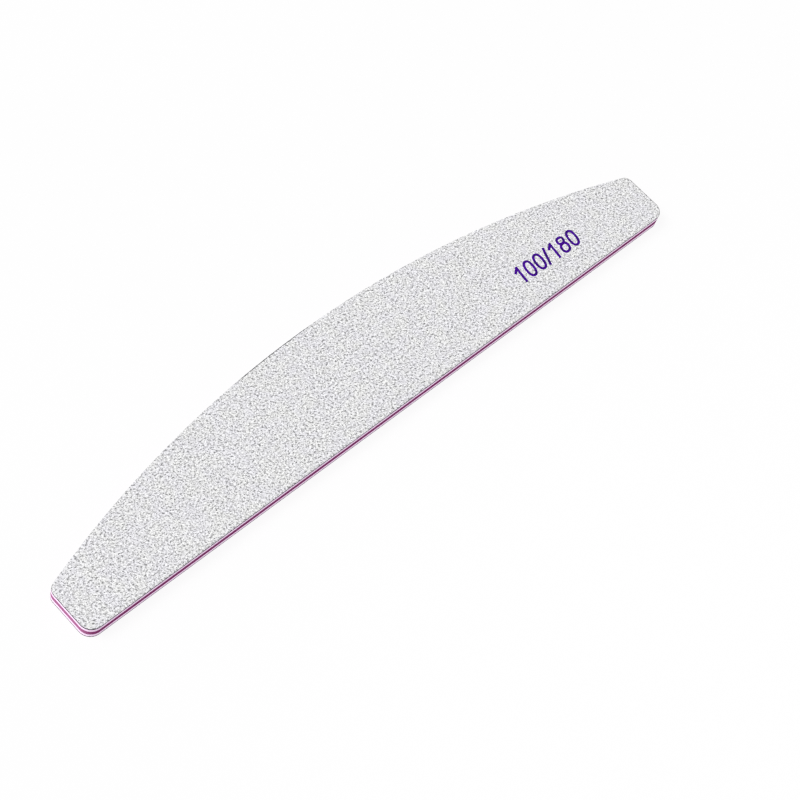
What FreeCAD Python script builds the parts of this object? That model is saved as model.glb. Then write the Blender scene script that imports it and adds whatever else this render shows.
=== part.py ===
import FreeCAD, Part
import os
from math import atan2, cos, pi, sin, sqrt

# A half-moon nail file: a stiff plastic core between two soft foam pads, faced with
# coarse abrasive paper on top and fine abrasive paper below. Sheet adhesive holds each
# layer to the next, and one stroke of a cutting die gives all of them the same outline.
# Millimetres. X runs along the board, Y from the straight edge to the crown, Z up.
# The origin is under the middle of the outline's box, on the fine face.

# Outline
LENGTH = 178.0                # end to end
WIDTH = 28.0                  # straight edge to the top of the crown
END_HEIGHT = 13.0             # square end, from the straight edge to where the crown meets it
FRONT_CORNER_RADIUS = 3.0     # between the straight edge and an end
CROWN_CORNER_RADIUS = 2.2     # between an end and the crown

# Thickness of each kind of layer
CORE_THICKNESS = 1.3
FOAM_THICKNESS = 0.8
TAPE_THICKNESS = 0.06
PAPER_THICKNESS = 0.25
COARSE_GRIT_THICKNESS = 0.22
FINE_GRIT_THICKNESS = 0.14

# Edge forms that the die leaves
FOAM_DRAW_IN = 0.15           # hollow of a foam edge at half its height
CORE_EDGE_RADIUS = 0.15       # both rims of the core, eased by the knife
GRIT_EDGE_RADIUS = 0.06       # outer rim of an abrasive coat, rolled over by the knife

# The crown is one arc through both end corners and the middle of the long side.
CROWN_RISE = WIDTH - END_HEIGHT
CROWN_RADIUS = ((LENGTH / 2) ** 2 + CROWN_RISE ** 2) / (2 * CROWN_RISE)
CROWN_CENTRE_Y = WIDTH / 2 - CROWN_RADIUS


def arc(centre_x, centre_y, radius, start, end, height):
    """Circular edge about a centre, from one angle to another."""
    points = []
    for angle in (start, (start + end) / 2, end):
        x = centre_x + radius * cos(angle)
        y = centre_y + radius * sin(angle)
        points.append(FreeCAD.Vector(x, y, height))
    return Part.Arc(*points).toShape()


def outline(inset, height):
    """Closed half-moon at a height, moved inwards all round by the inset."""
    front_radius = FRONT_CORNER_RADIUS - inset
    front_x = LENGTH / 2 - FRONT_CORNER_RADIUS
    front_y = FRONT_CORNER_RADIUS - WIDTH / 2

    # A crown corner touches the end and the crown, so its centre lies this far from both.
    crown_radius = CROWN_CORNER_RADIUS - inset
    crown_x = LENGTH / 2 - CROWN_CORNER_RADIUS
    reach = sqrt((CROWN_RADIUS - CROWN_CORNER_RADIUS) ** 2 - crown_x ** 2)
    crown_y = CROWN_CENTRE_Y + reach
    touch = atan2(reach, crown_x)

    rounds = [
        arc(front_x, front_y, front_radius, -pi / 2, 0, height),
        arc(crown_x, crown_y, crown_radius, 0, touch, height),
        arc(0, CROWN_CENTRE_Y, CROWN_RADIUS - inset, touch, pi / 2, height),
        arc(0, CROWN_CENTRE_Y, CROWN_RADIUS - inset, pi / 2, pi - touch, height),
        arc(-crown_x, crown_y, crown_radius, pi - touch, pi, height),
        arc(-front_x, front_y, front_radius, pi, 3 * pi / 2, height),
    ]
    front_right, crown_right, right_crown, left_crown, crown_left, front_left = rounds
    edges = [
        front_right,
        straight(front_right, crown_right),
        crown_right,
        right_crown,
        left_crown,
        crown_left,
        straight(crown_left, front_left),
        front_left,
        straight(front_left, front_right),
    ]
    return Part.Wire(edges)


def straight(before, after):
    """Straight edge from the end of one round to the start of the next."""
    start = before.valueAt(before.LastParameter)
    end = after.valueAt(after.FirstParameter)
    return Part.LineSegment(start, end).toShape()


def flat_layer(bottom, thickness):
    """Sheet cut square to its faces: paper or adhesive."""
    face = Part.Face(outline(0, bottom))
    return face.extrude(FreeCAD.Vector(0, 0, thickness))


def eased_layer(bottom, thickness, radius, upper=False, lower=False):
    """Sheet with a small round along its upper rim, its lower rim or both."""
    sheet = flat_layer(bottom, thickness)
    middle = bottom + thickness / 2
    rims = []
    for edge in sheet.Edges:
        heights = [vertex.Z for vertex in edge.Vertexes]
        if upper and min(heights) > middle:
            rims.append(edge)
        if lower and max(heights) < middle:
            rims.append(edge)
    return sheet.makeFillet(radius, rims)


def core_layer(bottom, thickness):
    """Stiff plastic sheet with both rims eased."""
    return eased_layer(bottom, thickness, CORE_EDGE_RADIUS, upper=True, lower=True)


def coarse_grit_layer(bottom, thickness):
    """Abrasive coat of the upper face, its upper rim rolled over."""
    return eased_layer(bottom, thickness, GRIT_EDGE_RADIUS, upper=True)


def fine_grit_layer(bottom, thickness):
    """Abrasive coat of the lower face, its lower rim rolled over."""
    return eased_layer(bottom, thickness, GRIT_EDGE_RADIUS, lower=True)


def foam_layer(bottom, thickness):
    """Foam pad whose cut edge is drawn in between its two glued faces."""
    sections = [
        outline(0, bottom),
        outline(FOAM_DRAW_IN, bottom + thickness / 2),
        outline(0, bottom + thickness),
    ]
    return Part.makeLoft(sections, True, False)


# The stack, from the fine face up to the coarse face
STACK = (
    ("fine_grit", FINE_GRIT_THICKNESS, fine_grit_layer),
    ("fine_paper", PAPER_THICKNESS, flat_layer),
    ("lower_paper_tape", TAPE_THICKNESS, flat_layer),
    ("lower_foam", FOAM_THICKNESS, foam_layer),
    ("lower_core_tape", TAPE_THICKNESS, flat_layer),
    ("core_board", CORE_THICKNESS, core_layer),
    ("upper_core_tape", TAPE_THICKNESS, flat_layer),
    ("upper_foam", FOAM_THICKNESS, foam_layer),
    ("upper_paper_tape", TAPE_THICKNESS, flat_layer),
    ("coarse_paper", PAPER_THICKNESS, flat_layer),
    ("coarse_grit", COARSE_GRIT_THICKNESS, coarse_grit_layer),
)

os.makedirs("parts", exist_ok=True)
bottom = 0.0
for node, thickness, make_layer in STACK:
    layer = make_layer(bottom, thickness)
    layer.exportStep("parts/" + node + ".step")
    print(f"{node}: z {bottom:.2f} to {bottom + thickness:.2f} mm, {layer.Volume:.1f} mm3")
    bottom += thickness
print(f"board: {LENGTH:.0f} x {WIDTH:.0f} x {bottom:.2f} mm, crown radius {CROWN_RADIUS:.1f} mm")
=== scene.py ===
# %% [markdown]
# # A half-moon emery board
# An emery board is a sandwich. A stiff plastic sheet runs through the middle, a soft foam pad
# lies on each side of it, and abrasive paper is glued over both pads: coarse grain on one face,
# fine grain on the other. One stroke of a knife die cuts the whole sandwich to its outline.
#
# The sandwich is already built to exact sizes, sheet by sheet, and loads as a fixed frame. This
# lesson gives each sheet the surface that eye and finger meet: standing grains, cut foam cells,
# a scored plastic edge, printed numbers. Then it lights the board and sets up its picture.

# %% Load the stack of sheets
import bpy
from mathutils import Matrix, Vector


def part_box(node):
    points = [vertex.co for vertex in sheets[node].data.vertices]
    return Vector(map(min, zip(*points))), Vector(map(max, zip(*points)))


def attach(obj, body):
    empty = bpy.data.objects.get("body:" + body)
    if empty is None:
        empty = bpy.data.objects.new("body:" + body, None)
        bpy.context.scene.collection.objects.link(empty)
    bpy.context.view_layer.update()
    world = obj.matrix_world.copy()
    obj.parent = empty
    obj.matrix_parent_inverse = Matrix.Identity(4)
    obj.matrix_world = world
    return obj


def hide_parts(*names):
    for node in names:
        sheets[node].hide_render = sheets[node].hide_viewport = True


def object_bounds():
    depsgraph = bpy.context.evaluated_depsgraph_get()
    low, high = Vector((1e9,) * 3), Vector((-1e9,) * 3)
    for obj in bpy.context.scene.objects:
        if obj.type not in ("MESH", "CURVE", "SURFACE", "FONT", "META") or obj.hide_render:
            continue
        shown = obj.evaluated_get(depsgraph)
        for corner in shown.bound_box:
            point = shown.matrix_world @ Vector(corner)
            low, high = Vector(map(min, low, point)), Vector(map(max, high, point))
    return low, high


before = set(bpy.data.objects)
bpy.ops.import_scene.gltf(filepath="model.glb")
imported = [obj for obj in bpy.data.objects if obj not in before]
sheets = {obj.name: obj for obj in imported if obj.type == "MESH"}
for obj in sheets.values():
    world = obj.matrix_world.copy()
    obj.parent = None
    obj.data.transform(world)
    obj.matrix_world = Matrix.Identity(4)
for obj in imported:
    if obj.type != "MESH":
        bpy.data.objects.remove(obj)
cad_low, cad_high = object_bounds()
print("sheets in the stack:", ", ".join(sorted(sheets)))

# %% Bring in the tools
from math import atan2, cos, pi, radians, sin, sqrt

import bmesh
import bpy
import numpy as np
from mathutils import Matrix, Vector, noise
from mathutils.bvhtree import BVHTree

MM = 0.001
board_size = (cad_high - cad_low) / MM
print("board in millimetres: %.1f x %.1f x %.2f" % tuple(board_size))

# %% [markdown]
# ## The outline
# The die has a straight front edge, two short square ends and one long arc, the crown, with a
# small round at each corner. It could be drawn again as a curve object. But every grain has to
# know how far it lies from the cut, so the outline is kept as numbers instead: a few lengths,
# and a function that tells how deep inside the edge any point lies.

# %% Work out the outline
END_HEIGHT = 13.0 * MM
FRONT_ROUND = 3.0 * MM
CROWN_ROUND = 2.2 * MM

half_length = cad_high.x
front = cad_low.y
crown_top = cad_high.y
crown_rise = crown_top - front - END_HEIGHT
crown_radius = (half_length ** 2 + crown_rise ** 2) / (2 * crown_rise)
crown_centre = crown_top - crown_radius
front_round_x = half_length - FRONT_ROUND
front_round_y = front + FRONT_ROUND
crown_round_x = half_length - CROWN_ROUND
crown_round_reach = sqrt((crown_radius - CROWN_ROUND) ** 2 - crown_round_x ** 2)
crown_round_y = crown_centre + crown_round_reach
print("crown radius: %.1f mm" % (crown_radius / MM))

# %% Measure how deep inside the edge a point lies
NOT_ZERO = 1e-9


def inside_edge(x, y):
    """Depth of points inside the outline, and the way out to it, for arrays of x and y."""
    side = np.where(x < 0, -1.0, 1.0)
    right = np.abs(x)
    from_crown = np.hypot(right, y - crown_centre)
    depths = np.array([y - front, half_length - right, crown_radius - from_crown])
    nearest = depths.argmin(axis=0)
    depth = depths.min(axis=0)
    out_x = np.choose(nearest, [0.0, 1.0, right / from_crown])
    out_y = np.choose(nearest, [-1.0, 0.0, (y - crown_centre) / from_crown])

    by_front_round = (right > front_round_x) & (y < front_round_y)
    turn = (right - crown_round_x) * crown_round_reach - (y - crown_round_y) * crown_round_x
    by_crown_round = (y > crown_round_y) & (turn > 0)
    rounds = (
        (front_round_x, front_round_y, FRONT_ROUND, by_front_round),
        (crown_round_x, crown_round_y, CROWN_ROUND, by_crown_round),
    )
    for centre_x, centre_y, radius, here in rounds:
        reach = np.maximum(np.hypot(right - centre_x, y - centre_y), NOT_ZERO)
        depth = np.where(here, radius - reach, depth)
        out_x = np.where(here, (right - centre_x) / reach, out_x)
        out_y = np.where(here, (y - centre_y) / reach, out_y)
    return depth, side * out_x, out_y


middle_depth, _, _ = inside_edge(np.array([0.0]), np.array([0.0]))
print("the middle lies %.1f mm inside the edge" % (middle_depth[0] / MM))

# %% [markdown]
# ## The coarse coat
# Coated abrasive is made by throwing grains at wet resin. They stand close together, some on
# tip and some flat, and a pale top coat binds them. A smooth sheet with a bump pattern would
# give itself away at the rim and under low light, so here the grains are real facets.
#
# Scattering separate grains would need a million faces. Instead one sheet of small triangles
# is laid over the outline, one point per grain. Random heights turn it into facets, and flat
# shading keeps them sharp. First comes the bed of points, in staggered rows.

# %% Lay a bed of points in staggered rows
BED_MARGIN = 4


def grain_bed(spacing):
    """Points over the outline's box, and the triangles between them, all anticlockwise."""
    row_step = spacing * sqrt(3) / 2
    columns = int(2 * half_length / spacing) + BED_MARGIN
    rows = int((crown_top - front) / row_step) + BED_MARGIN
    row, column = np.mgrid[0:rows, 0:columns]
    x = (column - columns / 2 + 0.5 * (row % 2)) * spacing
    y = (row - rows / 2) * row_step

    here = (row * columns + column)[:-1, :-1].ravel()
    beside = here + 1
    above = here + columns
    across = above + 1
    even = (row[:-1, :-1] % 2 == 0).ravel()
    apex = np.where(even, above, across)
    foot = np.where(even, beside, here)
    lower = np.column_stack([here, beside, apex])
    upper = np.column_stack([foot, across, above])
    return x.ravel(), y.ravel(), np.concatenate([lower, upper])


# %% [markdown]
# The bed is then trimmed to the outline. Cutting triangles at the edge would leave slivers, so
# points within half a step of the edge slide onto it, and triangles beyond it are dropped. The
# edge comes out clean, with triangles of nearly one size.


# %% Trim the bed to the outline
def trimmed_bed(spacing):
    """The bed inside the outline: points, their depth inside the edge, the way out, triangles."""
    x, y, triangles = grain_bed(spacing)
    depth, out_x, out_y = inside_edge(x, y)
    on_rim = np.abs(depth) <= spacing / 2
    beyond = (depth < 0) & ~on_rim
    x = x + np.where(on_rim, depth * out_x, 0.0)
    y = y + np.where(on_rim, depth * out_y, 0.0)
    depth = np.where(on_rim, 0.0, depth)
    keep = ~beyond[triangles].any(axis=1) & ~on_rim[triangles].all(axis=1)
    used, renumbered = np.unique(triangles[keep], return_inverse=True)
    triangles = renumbered.reshape(-1, 3)
    return x[used], y[used], depth[used], out_x[used], out_y[used], triangles


def rim_loop(triangles):
    """Points of the bed's outer edge, in order, anticlockwise."""
    start = triangles.ravel()
    end = triangles[:, [1, 2, 0]].ravel()
    count = triangles.max() + 1
    lone = ~np.isin(start * count + end, end * count + start)
    after = dict(zip(start[lone].tolist(), end[lone].tolist()))
    loop = [next(iter(after))]
    while after[loop[-1]] != loop[0]:
        loop.append(after[loop[-1]])
    return np.array(loop)


# %% [markdown]
# A coat is more than its face: the knife has rolled its rim down and chipped it a little, its
# wall is as thick as the coat, and its flat back lies on the paper. The next function makes all
# of these, so that they close into one solid skin.

# %% Shape a coat of grains
TIP_SHARE = 0.4
TIP_HEIGHTS = (0.65, 1.0)
FLAT_HEIGHTS = (0.0, 0.5)
RIM_ROLL = 0.3
RIM_CHIP = 0.05 * MM
GRAIN_DRIFT = 0.28


def coat_points(spacing, relief, thickness, draws):
    """Points of the face and the back of a coat that lies with its grains up, and its faces."""
    x, y, depth, out_x, out_y, triangles = trimmed_bed(spacing)
    count = len(x)
    rim = rim_loop(triangles)
    back = np.column_stack([x[rim], y[rim], np.zeros(len(rim))])

    stands = draws.random(count) < TIP_SHARE
    on_tip = draws.uniform(*TIP_HEIGHTS, count)
    lying = draws.uniform(*FLAT_HEIGHTS, count)
    height = np.where(stands, on_tip, lying)
    z = thickness - relief * (1 - height)
    drift = np.where(depth > spacing, GRAIN_DRIFT * spacing, 0.0)
    x = x + drift * draws.uniform(-1, 1, count)
    y = y + drift * draws.uniform(-1, 1, count)
    chip = draws.uniform(0, RIM_CHIP, len(rim))
    x[rim] -= chip * out_x[rim]
    y[rim] -= chip * out_y[rim]
    z[rim] -= RIM_ROLL * thickness
    face = np.column_stack([x, y, z])

    low = count + np.arange(len(rim))
    walls = np.column_stack([low, np.roll(low, -1), np.roll(rim, -1), rim])
    unfolded = back[:, :2] + thickness * np.column_stack([out_x[rim], out_y[rim]])
    flat = np.concatenate([face[:, :2], unfolded])
    return np.concatenate([face, back]), flat, triangles, walls, low


# %% [markdown]
# The finish can be baked to a square picture, so the mesh brings its own map for that. The
# board is six times as long as it is wide. Three lengths of it, stacked one above the other,
# fill a square far better than one long strip, and the walls simply unfold outwards.

# %% Lay a coat out for baking
STRIPS = 3
STRIP_GAP = 0.5 * MM
BACK_BAND = 0.03
BACK_LENGTH = 0.98
BACK_WIDTH = 0.8


def lay_out(mesh, flat):
    """Bake map in stacked strips, from a flat place for each point. The last face is the back."""
    corner_count = np.zeros(len(mesh.polygons), np.int32)
    mesh.polygons.foreach_get("loop_total", corner_count)
    corner_point = np.zeros(len(mesh.loops), np.int32)
    mesh.loops.foreach_get("vertex_index", corner_point)
    first_corner = np.cumsum(corner_count) - corner_count

    strip_length = 2 * half_length / STRIPS
    strip_width = crown_top - front + 2 * STRIP_GAP
    first_place = flat[corner_point[first_corner], 0] + half_length
    strip = np.repeat(np.clip(first_place // strip_length, 0, STRIPS - 1), corner_count)
    along = flat[corner_point, 0] + half_length - strip * strip_length
    across = flat[corner_point, 1] - front + STRIP_GAP
    u = (along + STRIP_GAP) / (strip_length + 2 * STRIP_GAP)
    v = (1 - BACK_BAND) * (strip + across / strip_width) / STRIPS

    back = slice(first_corner[-1], None)
    back_x = flat[corner_point[back], 0] / (2 * half_length)
    back_y = flat[corner_point[back], 1] / (2 * crown_top)
    u[back] = 0.5 + BACK_LENGTH * back_x
    v[back] = 1 - BACK_BAND / 2 + BACK_WIDTH * BACK_BAND * back_y
    places = mesh.uv_layers.new(name="OFBake")
    places.uv.foreach_set("vector", np.column_stack([u, v]).astype(np.float32).ravel())


# %% [markdown]
# Each facet also gets a tone between 0 and 1, which the finish turns into a colour later. Plain
# random tones would make specks and blotches of every size. Grains are all about one size, so
# the tones of neighbours are evened out a little, which joins specks into grains. Then most of
# the mean of a wider patch is taken away, which breaks up blotches. Only the order of the
# results counts, so that dark and pale tones are equally common.
#
# Along the rim the knife has worn the pale coat off, so the tones there are darker. Tone 0 is
# left for the cut wall and the back, which are darkest.

# %% Tone the facets and make the piece
GRAIN_TONE = 0.05
NEAR_PASSES = 1
PATCH_PASSES = 5
PATCH_SHARE = 0.75


def evened(tones, triangles, passes):
    """Tones of points, each replaced by the mean over the facets around it, some times over."""
    corners = triangles.ravel()
    touching = np.bincount(corners)
    for _ in range(passes):
        on_facet = tones[triangles].mean(axis=1)
        tones = np.bincount(corners, np.repeat(on_facet, 3)) / touching
    return tones


def facet_tones(triangles, draws):
    """A tone for each facet, from GRAIN_TONE to 1, in spots of about one size."""
    chance = draws.random(triangles.max() + 1)
    near = evened(chance, triangles, NEAR_PASSES)
    patch = evened(near, triangles, PATCH_PASSES)
    order = ((chance + near) / 2 - PATCH_SHARE * patch).argsort().argsort()
    tone = GRAIN_TONE + (1 - GRAIN_TONE) * order / len(order)
    return tone[triangles[:, 0]]


def grit_coat(name, sheet, spacing, relief, rim_wear, grains_up, seed):
    """New piece: a coat of grains in the place of a smooth abrasive sheet."""
    draws = np.random.default_rng(seed)
    low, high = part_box(sheet)
    points, flat, triangles, walls, back = coat_points(spacing, relief, high.z - low.z, draws)
    tone = facet_tones(triangles, draws)
    at_rim = np.isin(triangles, walls).any(axis=1)
    tone[at_rim] *= rim_wear
    face_tone = np.concatenate([tone, np.zeros(len(walls) + 1)])

    points[:, 2] = low.z + points[:, 2] if grains_up else high.z - points[:, 2]
    faces = triangles.tolist() + walls.tolist() + [back[::-1].tolist()]
    if not grains_up:
        faces = [face[::-1] for face in faces]
    mesh = bpy.data.meshes.new(name)
    mesh.from_pydata(points.tolist(), [], faces)
    mesh.attributes.new("grain_tone", "FLOAT", "FACE").data.foreach_set("value", face_tone)
    lay_out(mesh, flat)
    coat = bpy.data.objects.new(name, mesh)
    bpy.context.collection.objects.link(coat)
    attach(coat, "root")
    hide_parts(sheet)
    print("%s: %d points, %d faces" % (name, len(points), len(faces)))
    return coat


# %% Grow the coarse coat
COARSE_SPACING = 0.23 * MM
COARSE_RELIEF = 0.09 * MM
COARSE_WEAR = 0.85
COARSE_SEED = 100
coarse_coat = grit_coat(
    "coarse_grain_coat", "coarse_grit", COARSE_SPACING, COARSE_RELIEF, COARSE_WEAR,
    grains_up=True, seed=COARSE_SEED,
)

# %% [markdown]
# The rim is darkened in two places. Near the top of the crown a thin dark line runs along the
# cut. Round the right end, which faces away from the soft box, the rim gets a lighter painted
# shade. A painted line would have to be drawn along the cut. Here the facets next to the cut are
# picked by their depth inside the edge instead, and their tones are drawn towards dark. The line
# on the crown fades out at both ends of its stretch.

# %% Darken the rim, with painted shade round the right end
DARK_RIM_WIDTH = 0.24 * MM
DARK_RIM_TONE = 0.03
CROWN_LINE_MIDDLE = -14.0 * MM
CROWN_LINE_REACH = 13.5 * MM
CROWN_LINE_FADE = 4.0 * MM
# The right end's rim is drawn partly dark as painted shade, since it faces away from the soft box.
END_SHADE = 0.65
END_FACING = 0.35


def rim_line_and_end_shade(coat):
    """Darkens facets next to the cut: a line on a stretch of the crown, painted shade round the
    right end.
    """
    mesh = coat.data
    count = len(mesh.polygons)
    middles = np.zeros(3 * count, np.float32)
    mesh.polygons.foreach_get("center", middles)
    tones = mesh.attributes["grain_tone"].data
    tone = np.zeros(count, np.float32)
    tones.foreach_get("value", tone)

    x, y, _ = middles.reshape(-1, 3).T
    depth, out_x, out_y = inside_edge(x, y)
    along_crown = np.clip((CROWN_LINE_REACH - np.abs(x - CROWN_LINE_MIDDLE)) / CROWN_LINE_FADE, 0, 1)
    darkening = np.where(out_y > 0, along_crown, 0.0)
    # Painted shade on the right end's rim.
    darkening = np.where(out_x > END_FACING, END_SHADE, darkening)
    darkening = np.where(depth < DARK_RIM_WIDTH, darkening, 0.0)
    tone += darkening * (np.minimum(tone, DARK_RIM_TONE) - tone)
    tones.foreach_set("value", tone.astype(np.float32))
    # Counts the facets of the crown line and of the painted shade on the right end.
    print("worn facets:", np.count_nonzero(darkening))


rim_line_and_end_shade(coarse_coat)

# %% [markdown]
# ### Its finish
# Seen close, the pale face is salt and pepper: white top coat, clear and grey crystals, and a
# dark grain here and there. A noise texture could colour it, but its spots would ignore the
# grains. The tone that each face carries does better, through a colour ramp that says how
# many grains are dark, grey or white. Fine noise then breaks up each facet, and crystals of a
# darker tone shine a little more than the chalky coat. The coat was mixed and spread unevenly,
# so a broad noise makes it faintly straw here and lilac there.


# %% Start a finish
USUAL_LOW = 0.3
USUAL_HIGH = 0.7


def new_finish(name):
    """New material, with its nodes, its links, its shader and object coordinates."""
    material = bpy.data.materials.new(name)
    material.use_nodes = True
    nodes = material.node_tree.nodes
    links = material.node_tree.links
    where = nodes.new("ShaderNodeTexCoord").outputs["Object"]
    return material, nodes, links, nodes["Principled BSDF"], where


def colour_ramp(nodes, stops):
    """Ramp node with a colour at each of the given places."""
    ramp = nodes.new("ShaderNodeValToRGB")
    elements = ramp.color_ramp.elements
    while len(elements) < len(stops):
        elements.new(0.5)
    for element, (place, colour) in zip(elements, stops):
        element.position = place
        element.color = (*colour, 1.0)
    return ramp


def noise_pattern(nodes, links, where, size, detail=2.0, stretch=(1, 1, 1)):
    """Noise node whose spots are about the given size, longer where the stretch is above one."""
    mapping = nodes.new("ShaderNodeMapping")
    mapping.inputs["Scale"].default_value = [1 / (size * longer) for longer in stretch]
    links.new(where, mapping.inputs["Vector"])
    pattern = nodes.new("ShaderNodeTexNoise")
    pattern.inputs["Scale"].default_value = 1.0
    pattern.inputs["Detail"].default_value = detail
    links.new(mapping.outputs["Vector"], pattern.inputs["Vector"])
    return pattern


def spread(nodes, links, value, lowest, highest):
    """Value of a pattern, with its usual range spread over the given limits."""
    limits = nodes.new("ShaderNodeMapRange")
    limits.inputs["From Min"].default_value = USUAL_LOW
    limits.inputs["From Max"].default_value = USUAL_HIGH
    limits.inputs["To Min"].default_value = lowest
    limits.inputs["To Max"].default_value = highest
    links.new(value, limits.inputs["Value"])
    return limits.outputs["Result"]


def roughen(nodes, links, shader, pattern, depth):
    """Bump from a pattern, as deep as given, on a shader."""
    bump = nodes.new("ShaderNodeBump")
    bump.inputs["Distance"].default_value = depth
    links.new(pattern, bump.inputs["Height"])
    links.new(bump.outputs["Normal"], shader.inputs["Normal"])


def tinted(nodes, links, colour, shade):
    """Colour with each part multiplied by a shade."""
    product = nodes.new("ShaderNodeMix")
    product.data_type = "RGBA"
    product.blend_type = "MULTIPLY"
    product.inputs["Factor"].default_value = 1.0
    links.new(colour, product.inputs["A"])
    links.new(shade, product.inputs["B"])
    return product.outputs["Result"]


# %% Finish the coarse coat
COARSE_TONES = (
    (0.00, (0.07, 0.07, 0.08)),
    (0.05, (0.24, 0.24, 0.25)),
    (0.20, (0.497, 0.495, 0.502)),
    (0.45, (0.724, 0.722, 0.748)),
    (0.70, (0.853, 0.852, 0.866)),
    (1.00, (0.975, 0.978, 0.993)),
)
LILAC_PATCH = (0.975, 0.972, 0.988)
STRAW_PATCH = (0.998, 1.0, 0.974)
PATCH_SIZE = 3.0 * MM
COARSE_FLECK = 0.08 * MM
FLECK_SHADES = (0.92, 1.06)
FLECK_BUMP = 0.15
GRAIN_ROUGHNESS = (0.45, 0.8)


def grain_finish(name, tones, fleck):
    """Salt-and-pepper finish for a coat of grains, with flecks of the given size on its facets."""
    material, nodes, links, shader, where = new_finish(name)
    grain = nodes.new("ShaderNodeAttribute")
    grain.attribute_name = "grain_tone"
    ramp = colour_ramp(nodes, tones)
    links.new(grain.outputs["Fac"], ramp.inputs["Fac"])
    flecks = noise_pattern(nodes, links, where, fleck)
    shade = spread(nodes, links, flecks.outputs["Fac"], *FLECK_SHADES)
    patches = noise_pattern(nodes, links, where, PATCH_SIZE)
    tint = colour_ramp(nodes, ((0.35, LILAC_PATCH), (0.65, STRAW_PATCH)))
    links.new(patches.outputs["Fac"], tint.inputs["Fac"])
    flecked = tinted(nodes, links, ramp.outputs["Color"], shade)
    patched = tinted(nodes, links, flecked, tint.outputs["Color"])
    links.new(patched, shader.inputs["Base Color"])
    roughness = spread(nodes, links, grain.outputs["Fac"], *GRAIN_ROUGHNESS)
    links.new(roughness, shader.inputs["Roughness"])
    shader.inputs["Specular IOR Level"].default_value = 0.35
    roughen(nodes, links, shader, flecks.outputs["Fac"], FLECK_BUMP * fleck)
    return material


coarse_finish = grain_finish("coarse_grain_finish", COARSE_TONES, COARSE_FLECK)
coarse_coat.data.materials.append(coarse_finish)
print("coarse coat finished with", len(COARSE_TONES), "tones")

# %% [markdown]
# ## The fine coat
# The face underneath has the finer grain, which stands lower and is more even in tone. The same
# function makes it, with its grains facing down. Its real grains are smaller than the triangles
# worth spending on a face that lies on the table, so finer flecks carry part of the detail.

# %% Grow and finish the fine coat
FINE_SPACING = 0.27 * MM
FINE_RELIEF = 0.06 * MM
FINE_WEAR = 0.3
FINE_SEED = 180
FINE_FLECK = 0.05 * MM
FINE_TONES = (
    (0.00, (0.05, 0.05, 0.055)),
    (0.05, (0.36, 0.36, 0.37)),
    (0.20, (0.54, 0.54, 0.55)),
    (0.50, (0.71, 0.71, 0.72)),
    (1.00, (0.90, 0.90, 0.90)),
)
fine_coat = grit_coat(
    "fine_grain_coat", "fine_grit", FINE_SPACING, FINE_RELIEF, FINE_WEAR,
    grains_up=False, seed=FINE_SEED,
)
fine_coat.data.materials.append(grain_finish("fine_grain_finish", FINE_TONES, FINE_FLECK))

# %% [markdown]
# ## The foam pads
# Each pad is a sheet of fine-celled white foam, glued on both faces. The knife squeezes it as
# it cuts, so when the knife lifts, the middle of the cut edge stays drawn in a little, and the
# opened cells show as small pits. Only that edge is ever seen, so the points go there: many
# columns round the outline, and a few rows from glue to glue. For the columns, the outline is
# walked run by run.


# %% Walk round the outline
def straight_run(start, end, out, step):
    """Evenly spaced points from start up to, but not at, end, with the way out of the board."""
    start = np.array(start)
    end = np.array(end)
    count = max(1, round(np.linalg.norm(end - start) / step))
    share = np.arange(count)[:, None] / count
    return start + share * (end - start), np.tile(out, (count, 1))


def round_run(centre, radius, start, end, step):
    """Evenly spaced points round an arc up to, but not at, its end, with the way out."""
    count = max(1, round(radius * (end - start) / step))
    angle = start + (end - start) * np.arange(count) / count
    out = np.column_stack([np.cos(angle), np.sin(angle)])
    return np.array(centre) + radius * out, out


def walk_outline(step):
    """Points all round the outline, anticlockwise from the front's left end, with the ways out."""
    touch = atan2(crown_round_reach, crown_round_x)
    right_front = (front_round_x, front_round_y)
    right_crown = (crown_round_x, crown_round_y)
    left_crown = (-crown_round_x, crown_round_y)
    left_front = (-front_round_x, front_round_y)
    right_end = ((half_length, front_round_y), (half_length, crown_round_y))
    left_end = ((-half_length, crown_round_y), (-half_length, front_round_y))
    runs = (
        straight_run((-front_round_x, front), (front_round_x, front), (0, -1), step),
        round_run(right_front, FRONT_ROUND, -pi / 2, 0, step),
        straight_run(*right_end, (1, 0), step),
        round_run(right_crown, CROWN_ROUND, 0, touch, step),
        round_run((0, crown_centre), crown_radius, touch, pi - touch, step),
        round_run(left_crown, CROWN_ROUND, pi - touch, pi, step),
        straight_run(*left_end, (-1, 0), step),
        round_run(left_front, FRONT_ROUND, pi, 3 * pi / 2, step),
    )
    places, ways_out = zip(*runs)
    return np.concatenate(places), np.concatenate(ways_out)


PAD_STEP = 0.16 * MM
pad_places, pad_ways_out = walk_outline(PAD_STEP)
print("columns round a pad:", len(pad_places))

# %% [markdown]
# The pits come from Voronoi noise, the pattern of a packed foam: where a point of the edge lies
# near the middle of a cell, it is pushed in, and where it lies on a wall between cells, it
# stays out. The push is added to the smooth hollow that the knife leaves.

# %% Build a pad
PAD_ROWS = 8
PAD_HOLLOW = 0.09 * MM
CELL_SIZE = 0.26 * MM
CELL_DEPTH = 0.07 * MM
CELL_REACH = 0.65


def cell_pit(place):
    """How far a cut foam edge is pitted at a place, from 0 on a cell wall to 1 in its middle."""
    distances, _ = noise.voronoi(Vector(place) / CELL_SIZE)
    return max(0.0, 1 - distances[0] / CELL_REACH)


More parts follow.
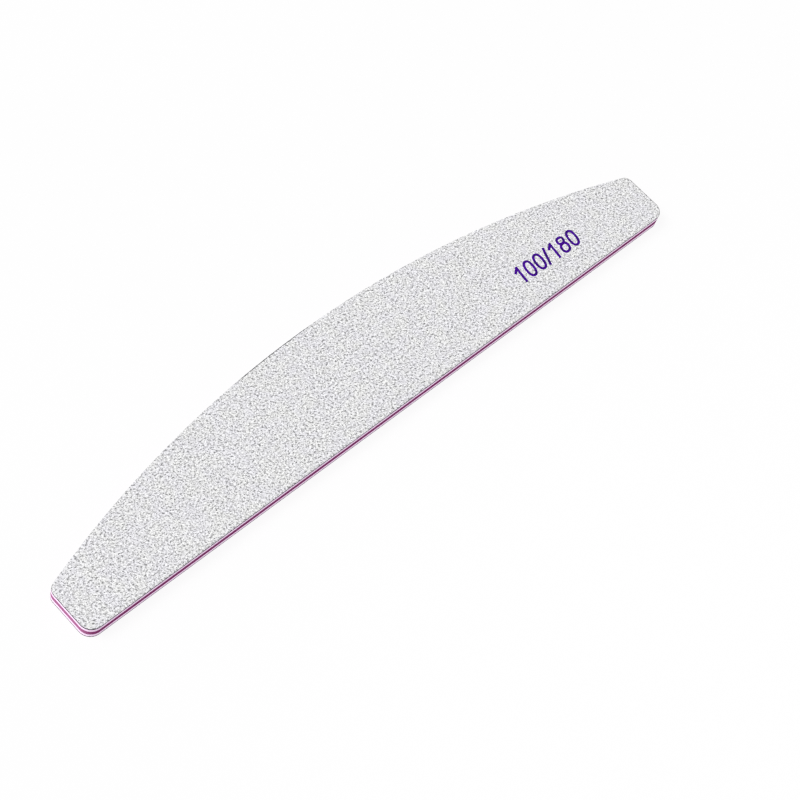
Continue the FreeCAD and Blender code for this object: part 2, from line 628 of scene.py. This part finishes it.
def foam_pad(name, sheet):
    """New piece: a foam pad with a drawn-in, pitted edge, in the place of its plain sheet."""
    low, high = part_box(sheet)
    columns = len(pad_places)
    points = []
    for row in range(PAD_ROWS + 1):
        share = row / PAD_ROWS
        hollow = 4 * PAD_HOLLOW * share * (1 - share)
        z = low.z + share * (high.z - low.z)
        for place, out in zip(pad_places, pad_ways_out):
            pit = cell_pit((*place, z)) if 0 < row < PAD_ROWS else 0.0
            points.append((*(place - (hollow + CELL_DEPTH * pit) * out), z))
    faces = []
    for row in range(PAD_ROWS):
        for column in range(columns):
            here = row * columns + column
            beside = row * columns + (column + 1) % columns
            faces.append((here, beside, beside + columns, here + columns))
    faces.append(range(columns - 1, -1, -1))
    faces.append(range(PAD_ROWS * columns, (PAD_ROWS + 1) * columns))
    mesh = bpy.data.meshes.new(name)
    mesh.from_pydata(points, [], faces)
    pad = bpy.data.objects.new(name, mesh)
    bpy.context.collection.objects.link(pad)
    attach(pad, "root")
    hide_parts(sheet)
    print("%s: %d faces" % (name, len(faces)))
    return pad


upper_pad = foam_pad("upper_foam_pad", "upper_foam")
lower_pad = foam_pad("lower_foam_pad", "lower_foam")

# %% [markdown]
# ### Their finish
# The foam is matte, and white with a tinge of lilac, which shows most on the shaded long edge.
# Its cell walls catch the light and its pits lie in shade, so the same kind of cell pattern
# paints light on the walls and shade in the pits into the colour, and makes a soft bump. It is
# finer than the modelled pits, for the cells too small to model.

# %% Finish the pads
# The pits get painted shade and the cell walls painted light, both lilac-white.
SHADED_FOAM_PIT = (0.92, 0.63, 0.90)
LIT_FOAM_WALL = (0.99, 0.77, 0.975)
SMALL_CELL = 0.12 * MM
SMALL_CELL_DEPTH = 0.03 * MM


def foam_finish():
    """Lilac-white foam, cut through its cells, with painted shade in the pits and painted light on
    the walls.
    """
    material, nodes, links, shader, where = new_finish("cut_foam_finish")
    cells = nodes.new("ShaderNodeTexVoronoi")
    cells.inputs["Scale"].default_value = 1 / SMALL_CELL
    links.new(where, cells.inputs["Vector"])
    # Painted shade in the pits, painted light on the cell walls.
    ramp = colour_ramp(nodes, ((0.05, SHADED_FOAM_PIT), (0.5, LIT_FOAM_WALL)))
    links.new(cells.outputs["Distance"], ramp.inputs["Fac"])
    links.new(ramp.outputs["Color"], shader.inputs["Base Color"])
    shader.inputs["Roughness"].default_value = 0.9
    shader.inputs["Specular IOR Level"].default_value = 0.1
    roughen(nodes, links, shader, cells.outputs["Distance"], SMALL_CELL_DEPTH)
    return material


cut_foam = foam_finish()
for pad in (upper_pad, lower_pad):
    pad.data.materials.append(cut_foam)
print("pads finished in", cut_foam.name)

# %% [markdown]
# ## The paper
# The grain is carried on dark paper soaked in resin. Only its cut edge shows, as a thin grey
# line round each face. The sheets are right as they are, so they keep their shape and get a
# finish: paper is felted in layers, so its noise is drawn out along the sheet and thin through
# it, with a few paler fibres.

# %% Finish the paper sheets
PAPER_DARK = (0.035, 0.035, 0.045)
PAPER_PALE = (0.10, 0.098, 0.11)
FIBRE_SIZE = 0.06 * MM
FIBRE_STRETCH = (9, 9, 1)
FIBRE_DEPTH = 0.03 * MM
PAPER_ROUGHNESS = (0.75, 0.95)


def paper_finish():
    """Dark resin-soaked paper, seen on its cut edge."""
    material, nodes, links, shader, where = new_finish("backing_paper_finish")
    fibres = noise_pattern(nodes, links, where, FIBRE_SIZE, detail=3.0, stretch=FIBRE_STRETCH)
    ramp = colour_ramp(nodes, ((0.35, PAPER_DARK), (0.7, PAPER_PALE)))
    links.new(fibres.outputs["Fac"], ramp.inputs["Fac"])
    links.new(ramp.outputs["Color"], shader.inputs["Base Color"])
    roughness = spread(nodes, links, fibres.outputs["Fac"], *PAPER_ROUGHNESS)
    links.new(roughness, shader.inputs["Roughness"])
    shader.inputs["Specular IOR Level"].default_value = 0.08
    roughen(nodes, links, shader, fibres.outputs["Fac"], FIBRE_DEPTH)
    return material


def dress(names, material):
    """Gives sheets of the stack a finish in place of their plain colour."""
    for name in names:
        for slot in sheets[name].material_slots:
            slot.material = material
    print(", ".join(names), "in", material.name)


dress(("coarse_paper", "fine_paper"), paper_finish())

# %% [markdown]
# ## The core
# The core is a sheet of magenta plastic, which keeps the soft pads straight. The knife scores
# its edge with fine upright lines and leaves it matte, so hardly any white floor mirrors in it
# and its colour stays deep. The noise for the lines is drawn out upwards and narrow along the
# edge, and the scored tops are a little paler than the grooves.
#
# The colour also carries painted light and shade. The long sides get painted shade, deeper
# copies of the magenta, and the two ends painted light, paler copies. The way that the edge faces
# tells the two apart: its share along the board, squared, is 0 on the long sides and 1 on the
# ends.

# %% Finish the core
# Painted shade: deeper magenta for the long sides. Painted light: paler magenta for the two ends.
SHADED_SIDE_GROOVE = (0.145, 0.005, 0.082)
SHADED_SIDE_SCORED = (0.25, 0.017, 0.15)
LIT_END_GROOVE = (0.365, 0.105, 0.25)
LIT_END_SCORED = (0.485, 0.17, 0.35)
SCORE_SIZE = 0.08 * MM
SCORE_STRETCH = (1, 1, 14)
SCORE_DEPTH = 0.02 * MM
CORE_ROUGHNESS = (0.6, 0.85)


def core_finish():
    """Magenta plastic sheet with knife lines, with painted light on its ends and painted shade on
    its sides.
    """
    material, nodes, links, shader, where = new_finish("core_plastic_finish")
    scores = noise_pattern(nodes, links, where, SCORE_SIZE, detail=3.0, stretch=SCORE_STRETCH)
    # The long sides get painted shade and the ends get painted light.
    shaded_sides = colour_ramp(nodes, ((0.3, SHADED_SIDE_GROOVE), (0.7, SHADED_SIDE_SCORED)))
    lit_ends = colour_ramp(nodes, ((0.3, LIT_END_GROOVE), (0.7, LIT_END_SCORED)))
    for ramp in (shaded_sides, lit_ends):
        links.new(scores.outputs["Fac"], ramp.inputs["Fac"])

    facing = nodes.new("ShaderNodeSeparateXYZ")
    links.new(nodes.new("ShaderNodeTexCoord").outputs["Normal"], facing.inputs["Vector"])
    squared = nodes.new("ShaderNodeMath")
    squared.operation = "MULTIPLY"
    for socket in squared.inputs[:2]:
        links.new(facing.outputs["X"], socket)
    edge_colour = nodes.new("ShaderNodeMix")
    edge_colour.data_type = "RGBA"
    links.new(squared.outputs["Value"], edge_colour.inputs["Factor"])
    links.new(shaded_sides.outputs["Color"], edge_colour.inputs["A"])
    links.new(lit_ends.outputs["Color"], edge_colour.inputs["B"])
    links.new(edge_colour.outputs["Result"], shader.inputs["Base Color"])
    roughness = spread(nodes, links, scores.outputs["Fac"], *CORE_ROUGHNESS)
    links.new(roughness, shader.inputs["Roughness"])
    shader.inputs["Specular IOR Level"].default_value = 0.07
    roughen(nodes, links, shader, scores.outputs["Fac"], SCORE_DEPTH)
    return material


dress(("core_board",), core_finish())

# %% [markdown]
# ## The adhesive
# Four sheets of clear adhesive, thinner than a hair, hold the stack together. At the cut they
# show as faint satin lines, milky where the knife dragged them. A blotchy noise along the
# sheet gives that, in colour and in gloss. Clear adhesive takes on the colour behind it, so the
# two sheets on the core are pink, and the two under the papers are nearly white.

# %% Finish the adhesive sheets
PAPER_GLUE = ((0.35, (0.62, 0.45, 0.60)), (0.65, (0.85, 0.72, 0.84)))
CORE_GLUE = ((0.35, (0.45, 0.18, 0.37)), (0.65, (0.66, 0.37, 0.57)))
DRAG_SIZE = 0.5 * MM
GLUE_ROUGHNESS = (0.35, 0.6)


def glue_finish(name, tones):
    """Thin sheet adhesive, dragged by the knife, clear in its first tone and milky in its last."""
    material, nodes, links, shader, where = new_finish(name)
    drags = noise_pattern(nodes, links, where, DRAG_SIZE)
    ramp = colour_ramp(nodes, tones)
    links.new(drags.outputs["Fac"], ramp.inputs["Fac"])
    links.new(ramp.outputs["Color"], shader.inputs["Base Color"])
    roughness = spread(nodes, links, drags.outputs["Fac"], *GLUE_ROUGHNESS)
    links.new(roughness, shader.inputs["Roughness"])
    return material


dress(("upper_paper_tape", "lower_paper_tape"), glue_finish("paper_glue_finish", PAPER_GLUE))
dress(("upper_core_tape", "lower_core_tape"), glue_finish("core_glue_finish", CORE_GLUE))

# %% [markdown]
# ## The printed numbers
# The two grit numbers are printed on the coarse face, in sloping indigo figures. A text object
# would need a font of the right shape, and only three figures and a stroke are wanted. So they
# are drawn with a pen: the path of each stroke is a line of points, and the curve's bevel is
# the nib. The loops are ovals with slightly flattened sides.

# %% Draw the figures with a pen
PEN = 0.67 * MM
FIGURE_HEIGHT = 4.62 * MM
FIGURE_PITCH = 3.24 * MM
SLASH_PITCH = 1.72 * MM
FIGURE_SLANT = 0.128
FIRST_FIGURE = 46.38 * MM
FIGURES_BASE = -7.87 * MM
OVAL_POINTS = 48
OVAL_FULLNESS = 2.4


def oval(middle, half_width, half_height):
    """Path of a loop, centred over the middle of its figure, at a height above the base line."""
    angle = np.linspace(0, 2 * pi, OVAL_POINTS, endpoint=False)
    power = 2 / OVAL_FULLNESS
    across = half_width * np.sign(np.cos(angle)) * np.abs(np.cos(angle)) ** power
    up = middle + half_height * np.sign(np.sin(angle)) * np.abs(np.sin(angle)) ** power
    return np.column_stack([across, up]), True


def line(*ends):
    """Path of a straight stroke, from the first place to the last."""
    return np.array(ends), False


STROKES = {
    "0": [oval(2.31 * MM, 1.06 * MM, 2.01 * MM)],
    "1": [
        line((0.33 * MM, 0), (0.33 * MM, FIGURE_HEIGHT)),
        line((0.33 * MM, 4.3 * MM), (-0.94 * MM, 3.17 * MM)),
    ],
    "8": [oval(3.50 * MM, 0.92 * MM, 0.83 * MM), oval(1.42 * MM, 1.06 * MM, 1.14 * MM)],
    "/": [line((-0.6 * MM, 0), (0.6 * MM, FIGURE_HEIGHT))],
}
print("figures drawn:", " ".join(STROKES))

# %% [markdown]
# Ink on grain is a film that climbs over every tip. Flat figures would cut through the grains
# or float over them. So the pen strokes are flattened, a voxel remesh joins them into small
# even faces, and each point is then dropped onto the grains straight below it.

# %% Write the numbers
FILM = 0.05 * MM
FILM_VOXEL = 0.055 * MM
PEN_FILM = 4 * FILM


def written(words):
    """Mesh of sloping pen strokes that write some figures on the base line."""
    pen_lines = bpy.data.curves.new("pen_lines", "CURVE")
    pen_lines.dimensions = "3D"
    pen_lines.bevel_depth = PEN / 2
    pen_lines.use_fill_caps = True
    pitches = [SLASH_PITCH if word == "/" else FIGURE_PITCH for word in words]
    place = FIRST_FIGURE - pitches[0] / 2
    for word, pitch in zip(words, pitches):
        for path, closed in STROKES[word]:
            x = place + pitch / 2 + path[:, 0] + FIGURE_SLANT * path[:, 1]
            y = FIGURES_BASE + path[:, 1]
            spline = pen_lines.splines.new("POLY")
            spline.points.add(len(path) - 1)
            spline.use_cyclic_u = closed
            for point, along, up in zip(spline.points, x, y):
                point.co = (along, up, 0, 1)
        place += pitch
    holder = bpy.data.objects.new("pen_lines", pen_lines)
    bpy.context.collection.objects.link(holder)
    ready = holder.evaluated_get(bpy.context.evaluated_depsgraph_get())
    mesh = bpy.data.meshes.new_from_object(ready)
    bpy.data.objects.remove(holder)
    mesh.transform(Matrix.Diagonal((1, 1, PEN_FILM / PEN, 1)))
    return mesh


pen_mesh = written("100/180")
print("pen strokes:", len(pen_mesh.polygons), "faces")


# %% Drape the numbers over the grains
ABOVE_GRAINS = 0.3 * FILM
BELOW_GRAINS = 0.7 * FILM


def draped(name, mesh):
    """New piece: flat strokes in small even faces, each point dropped onto the grains below it."""
    film = bpy.data.objects.new(name, mesh)
    bpy.context.collection.objects.link(film)
    remesh = film.modifiers.new("even faces", "REMESH")
    remesh.mode = "VOXEL"
    remesh.voxel_size = FILM_VOXEL
    ready = film.evaluated_get(bpy.context.evaluated_depsgraph_get())
    film.data = bpy.data.meshes.new_from_object(ready)
    film.modifiers.clear()
    grains = BVHTree.FromObject(coarse_coat, bpy.context.evaluated_depsgraph_get())
    for point in film.data.vertices:
        start = Vector((point.co.x, point.co.y, 2 * cad_high.z))
        below = grains.ray_cast(start, Vector((0, 0, -1)))[0]
        rise = ABOVE_GRAINS if point.co.z > 0 else -BELOW_GRAINS
        point.co.z = below.z + rise
    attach(film, "root")
    return film


figures = draped("grit_numbers", pen_mesh)
print("draped numbers:", len(figures.data.polygons), "faces")

# %% [markdown]
# The ink is dull indigo, thin on the tips and thicker in the hollows, so a fine noise moves its
# colour between two depths of the same hue.

# %% Finish the ink
INK_DEEP = (0.030, 0.001, 0.15)
INK_THIN = (0.085, 0.003, 0.37)
COVER_SIZE = 0.9 * MM
INK_ROUGHNESS = (0.6, 0.85)


def ink_finish():
    """Indigo printing ink over grain."""
    material, nodes, links, shader, where = new_finish("indigo_ink_finish")
    cover = noise_pattern(nodes, links, where, COVER_SIZE, detail=3.0)
    ramp = colour_ramp(nodes, ((0.35, INK_DEEP), (0.7, INK_THIN)))
    links.new(cover.outputs["Fac"], ramp.inputs["Fac"])
    links.new(ramp.outputs["Color"], shader.inputs["Base Color"])
    roughness = spread(nodes, links, cover.outputs["Fac"], *INK_ROUGHNESS)
    links.new(roughness, shader.inputs["Roughness"])
    shader.inputs["Specular IOR Level"].default_value = 0.08
    return material


figures.data.materials.append(ink_finish())
print("ink applied to", figures.name)

# %% [markdown]
# ## The floor
# The board lies on a white studio sweep. A flat plane would end in a hard horizon in low
# views, so the floor is turned like a shallow dish: flat in the middle, and rising gently far
# out. It glows, as a light table does, so that it stays white and lights the edges from below.

# %% Turn the floor
FLAT_RADIUS = 1.2
RIM_RADIUS = 3.2
RIM_HEIGHT = 0.8
RISE_STEPS = 13
TURN_STEPS = 96
FLOOR_GLOW = 0.91
FLOOR_DROP = 0.02 * MM
FLOOR_WELD = 0.01 * MM
FLOOR_DULL = (0.07, 0.07, 0.07)
FLOOR_PALE = (0.09, 0.09, 0.09)
FLOOR_MOTTLE = 0.3


def studio_floor():
    """Shallow white dish, flat under the board."""
    shape = bmesh.new()
    profile = [shape.verts.new((0, 0, -FLOOR_DROP))]
    for share in np.linspace(0, 1, RISE_STEPS):
        radius = FLAT_RADIUS + share * (RIM_RADIUS - FLAT_RADIUS)
        profile.append(shape.verts.new((radius, 0, RIM_HEIGHT * share ** 2 - FLOOR_DROP)))
    edges = [shape.edges.new(pair) for pair in zip(profile, profile[1:])]
    bmesh.ops.spin(
        shape, geom=profile + edges, axis=(0, 0, 1), cent=(0, 0, 0), angle=2 * pi,
        steps=TURN_STEPS, use_merge=True,
    )
    bmesh.ops.remove_doubles(shape, verts=shape.verts, dist=FLOOR_WELD)
    bmesh.ops.recalc_face_normals(shape, faces=shape.faces)
    for face in shape.faces:
        face.smooth = True
    mesh = bpy.data.meshes.new("studio_floor")
    shape.to_mesh(mesh)
    shape.free()
    floor = bpy.data.objects.new("studio_floor", mesh)
    bpy.context.collection.objects.link(floor)
    material, nodes, links, shader, where = new_finish("floor_paper")
    mottle = noise_pattern(nodes, links, where, FLOOR_MOTTLE)
    ramp = colour_ramp(nodes, ((0.0, FLOOR_DULL), (1.0, FLOOR_PALE)))
    links.new(mottle.outputs["Fac"], ramp.inputs["Fac"])
    links.new(ramp.outputs["Color"], shader.inputs["Base Color"])
    shader.inputs["Roughness"].default_value = 1.0
    shader.inputs["Specular IOR Level"].default_value = 0.0
    shader.inputs["Emission Color"].default_value = (1, 1, 1, 1)
    shader.inputs["Emission Strength"].default_value = FLOOR_GLOW
    floor.data.materials.append(material)
    return floor


floor = studio_floor()
print("floor:", len(floor.data.polygons), "faces")

# %% [markdown]
# ## The light
# The picture is bright and even. The left end is the lightest part of the edge, and the straight
# edge is in shade, so the main light is a large soft box, high on the left and behind, and far
# off, so that both ends get the same. A plain white world fills in the rest. The Standard view
# keeps white paper white. Denoising is off and the pixel filter is narrow, because both would
# blur grains that are about as small as a pixel.

# %% Set the lights
WORLD_LEVEL = 0.45
KEY_DIRECTION = Vector((-0.62, 0.50, 1.0)).normalized()
KEY_DISTANCE = 12.0
KEY_SIDE = 6.4
KEY_POWER = 1130.0
PIXEL_FILTER = 1.3

world = bpy.data.worlds.new("studio_world")
world.use_nodes = True
world.node_tree.nodes["Background"].inputs["Color"].default_value = (1, 1, 1, 1)
world.node_tree.nodes["Background"].inputs["Strength"].default_value = WORLD_LEVEL
bpy.context.scene.world = world
bpy.context.scene.view_settings.view_transform = "Standard"
bpy.context.scene.cycles.use_denoising = False
bpy.context.scene.cycles.filter_width = PIXEL_FILTER

soft_box = bpy.data.lights.new("soft_box", "AREA")
soft_box.shape = "SQUARE"
soft_box.size = KEY_SIDE
soft_box.energy = KEY_POWER
key = bpy.data.objects.new("soft_box", soft_box)
key.location = KEY_DISTANCE * KEY_DIRECTION
key.rotation_euler = KEY_DIRECTION.to_track_quat("Z", "Y").to_euler()
bpy.context.collection.objects.link(key)
print("soft box at", tuple(round(value, 2) for value in key.location))

# %% [markdown]
# ## The camera
# The camera looks down at the board from its front left, rolled so that the board climbs to the
# right. Its place is given as a direction and a distance from a point on the board, which is
# easier to read and change than a bare position and three angles.

# %% Set the camera
LENS = 96.26
SENSOR = 36.0
TARGET = Vector((1.48, -12.157, 2.0)) * MM
DISTANCE = 477.4 * MM
AZIMUTH = radians(-61.026)
ELEVATION = radians(57.562)
ROLL = radians(20.518)

back = Vector((sin(AZIMUTH) * cos(ELEVATION), -cos(AZIMUTH) * cos(ELEVATION), sin(ELEVATION)))
level_right = Vector((cos(AZIMUTH), sin(AZIMUTH), 0))
level_up = back.cross(level_right)
right = cos(ROLL) * level_right + sin(ROLL) * level_up
up = cos(ROLL) * level_up - sin(ROLL) * level_right

camera_data = bpy.data.cameras.new("photo_camera")
camera_data.lens = LENS
camera_data.sensor_width = SENSOR
camera = bpy.data.objects.new("photo_camera", camera_data)
turned = Matrix((right, up, back)).transposed().to_4x4()
camera.matrix_world = Matrix.Translation(TARGET + DISTANCE * back) @ turned
bpy.context.collection.objects.link(camera)
bpy.context.scene.camera = camera
print("camera at", tuple(round(value / MM, 1) for value in camera.matrix_world.translation), "mm")
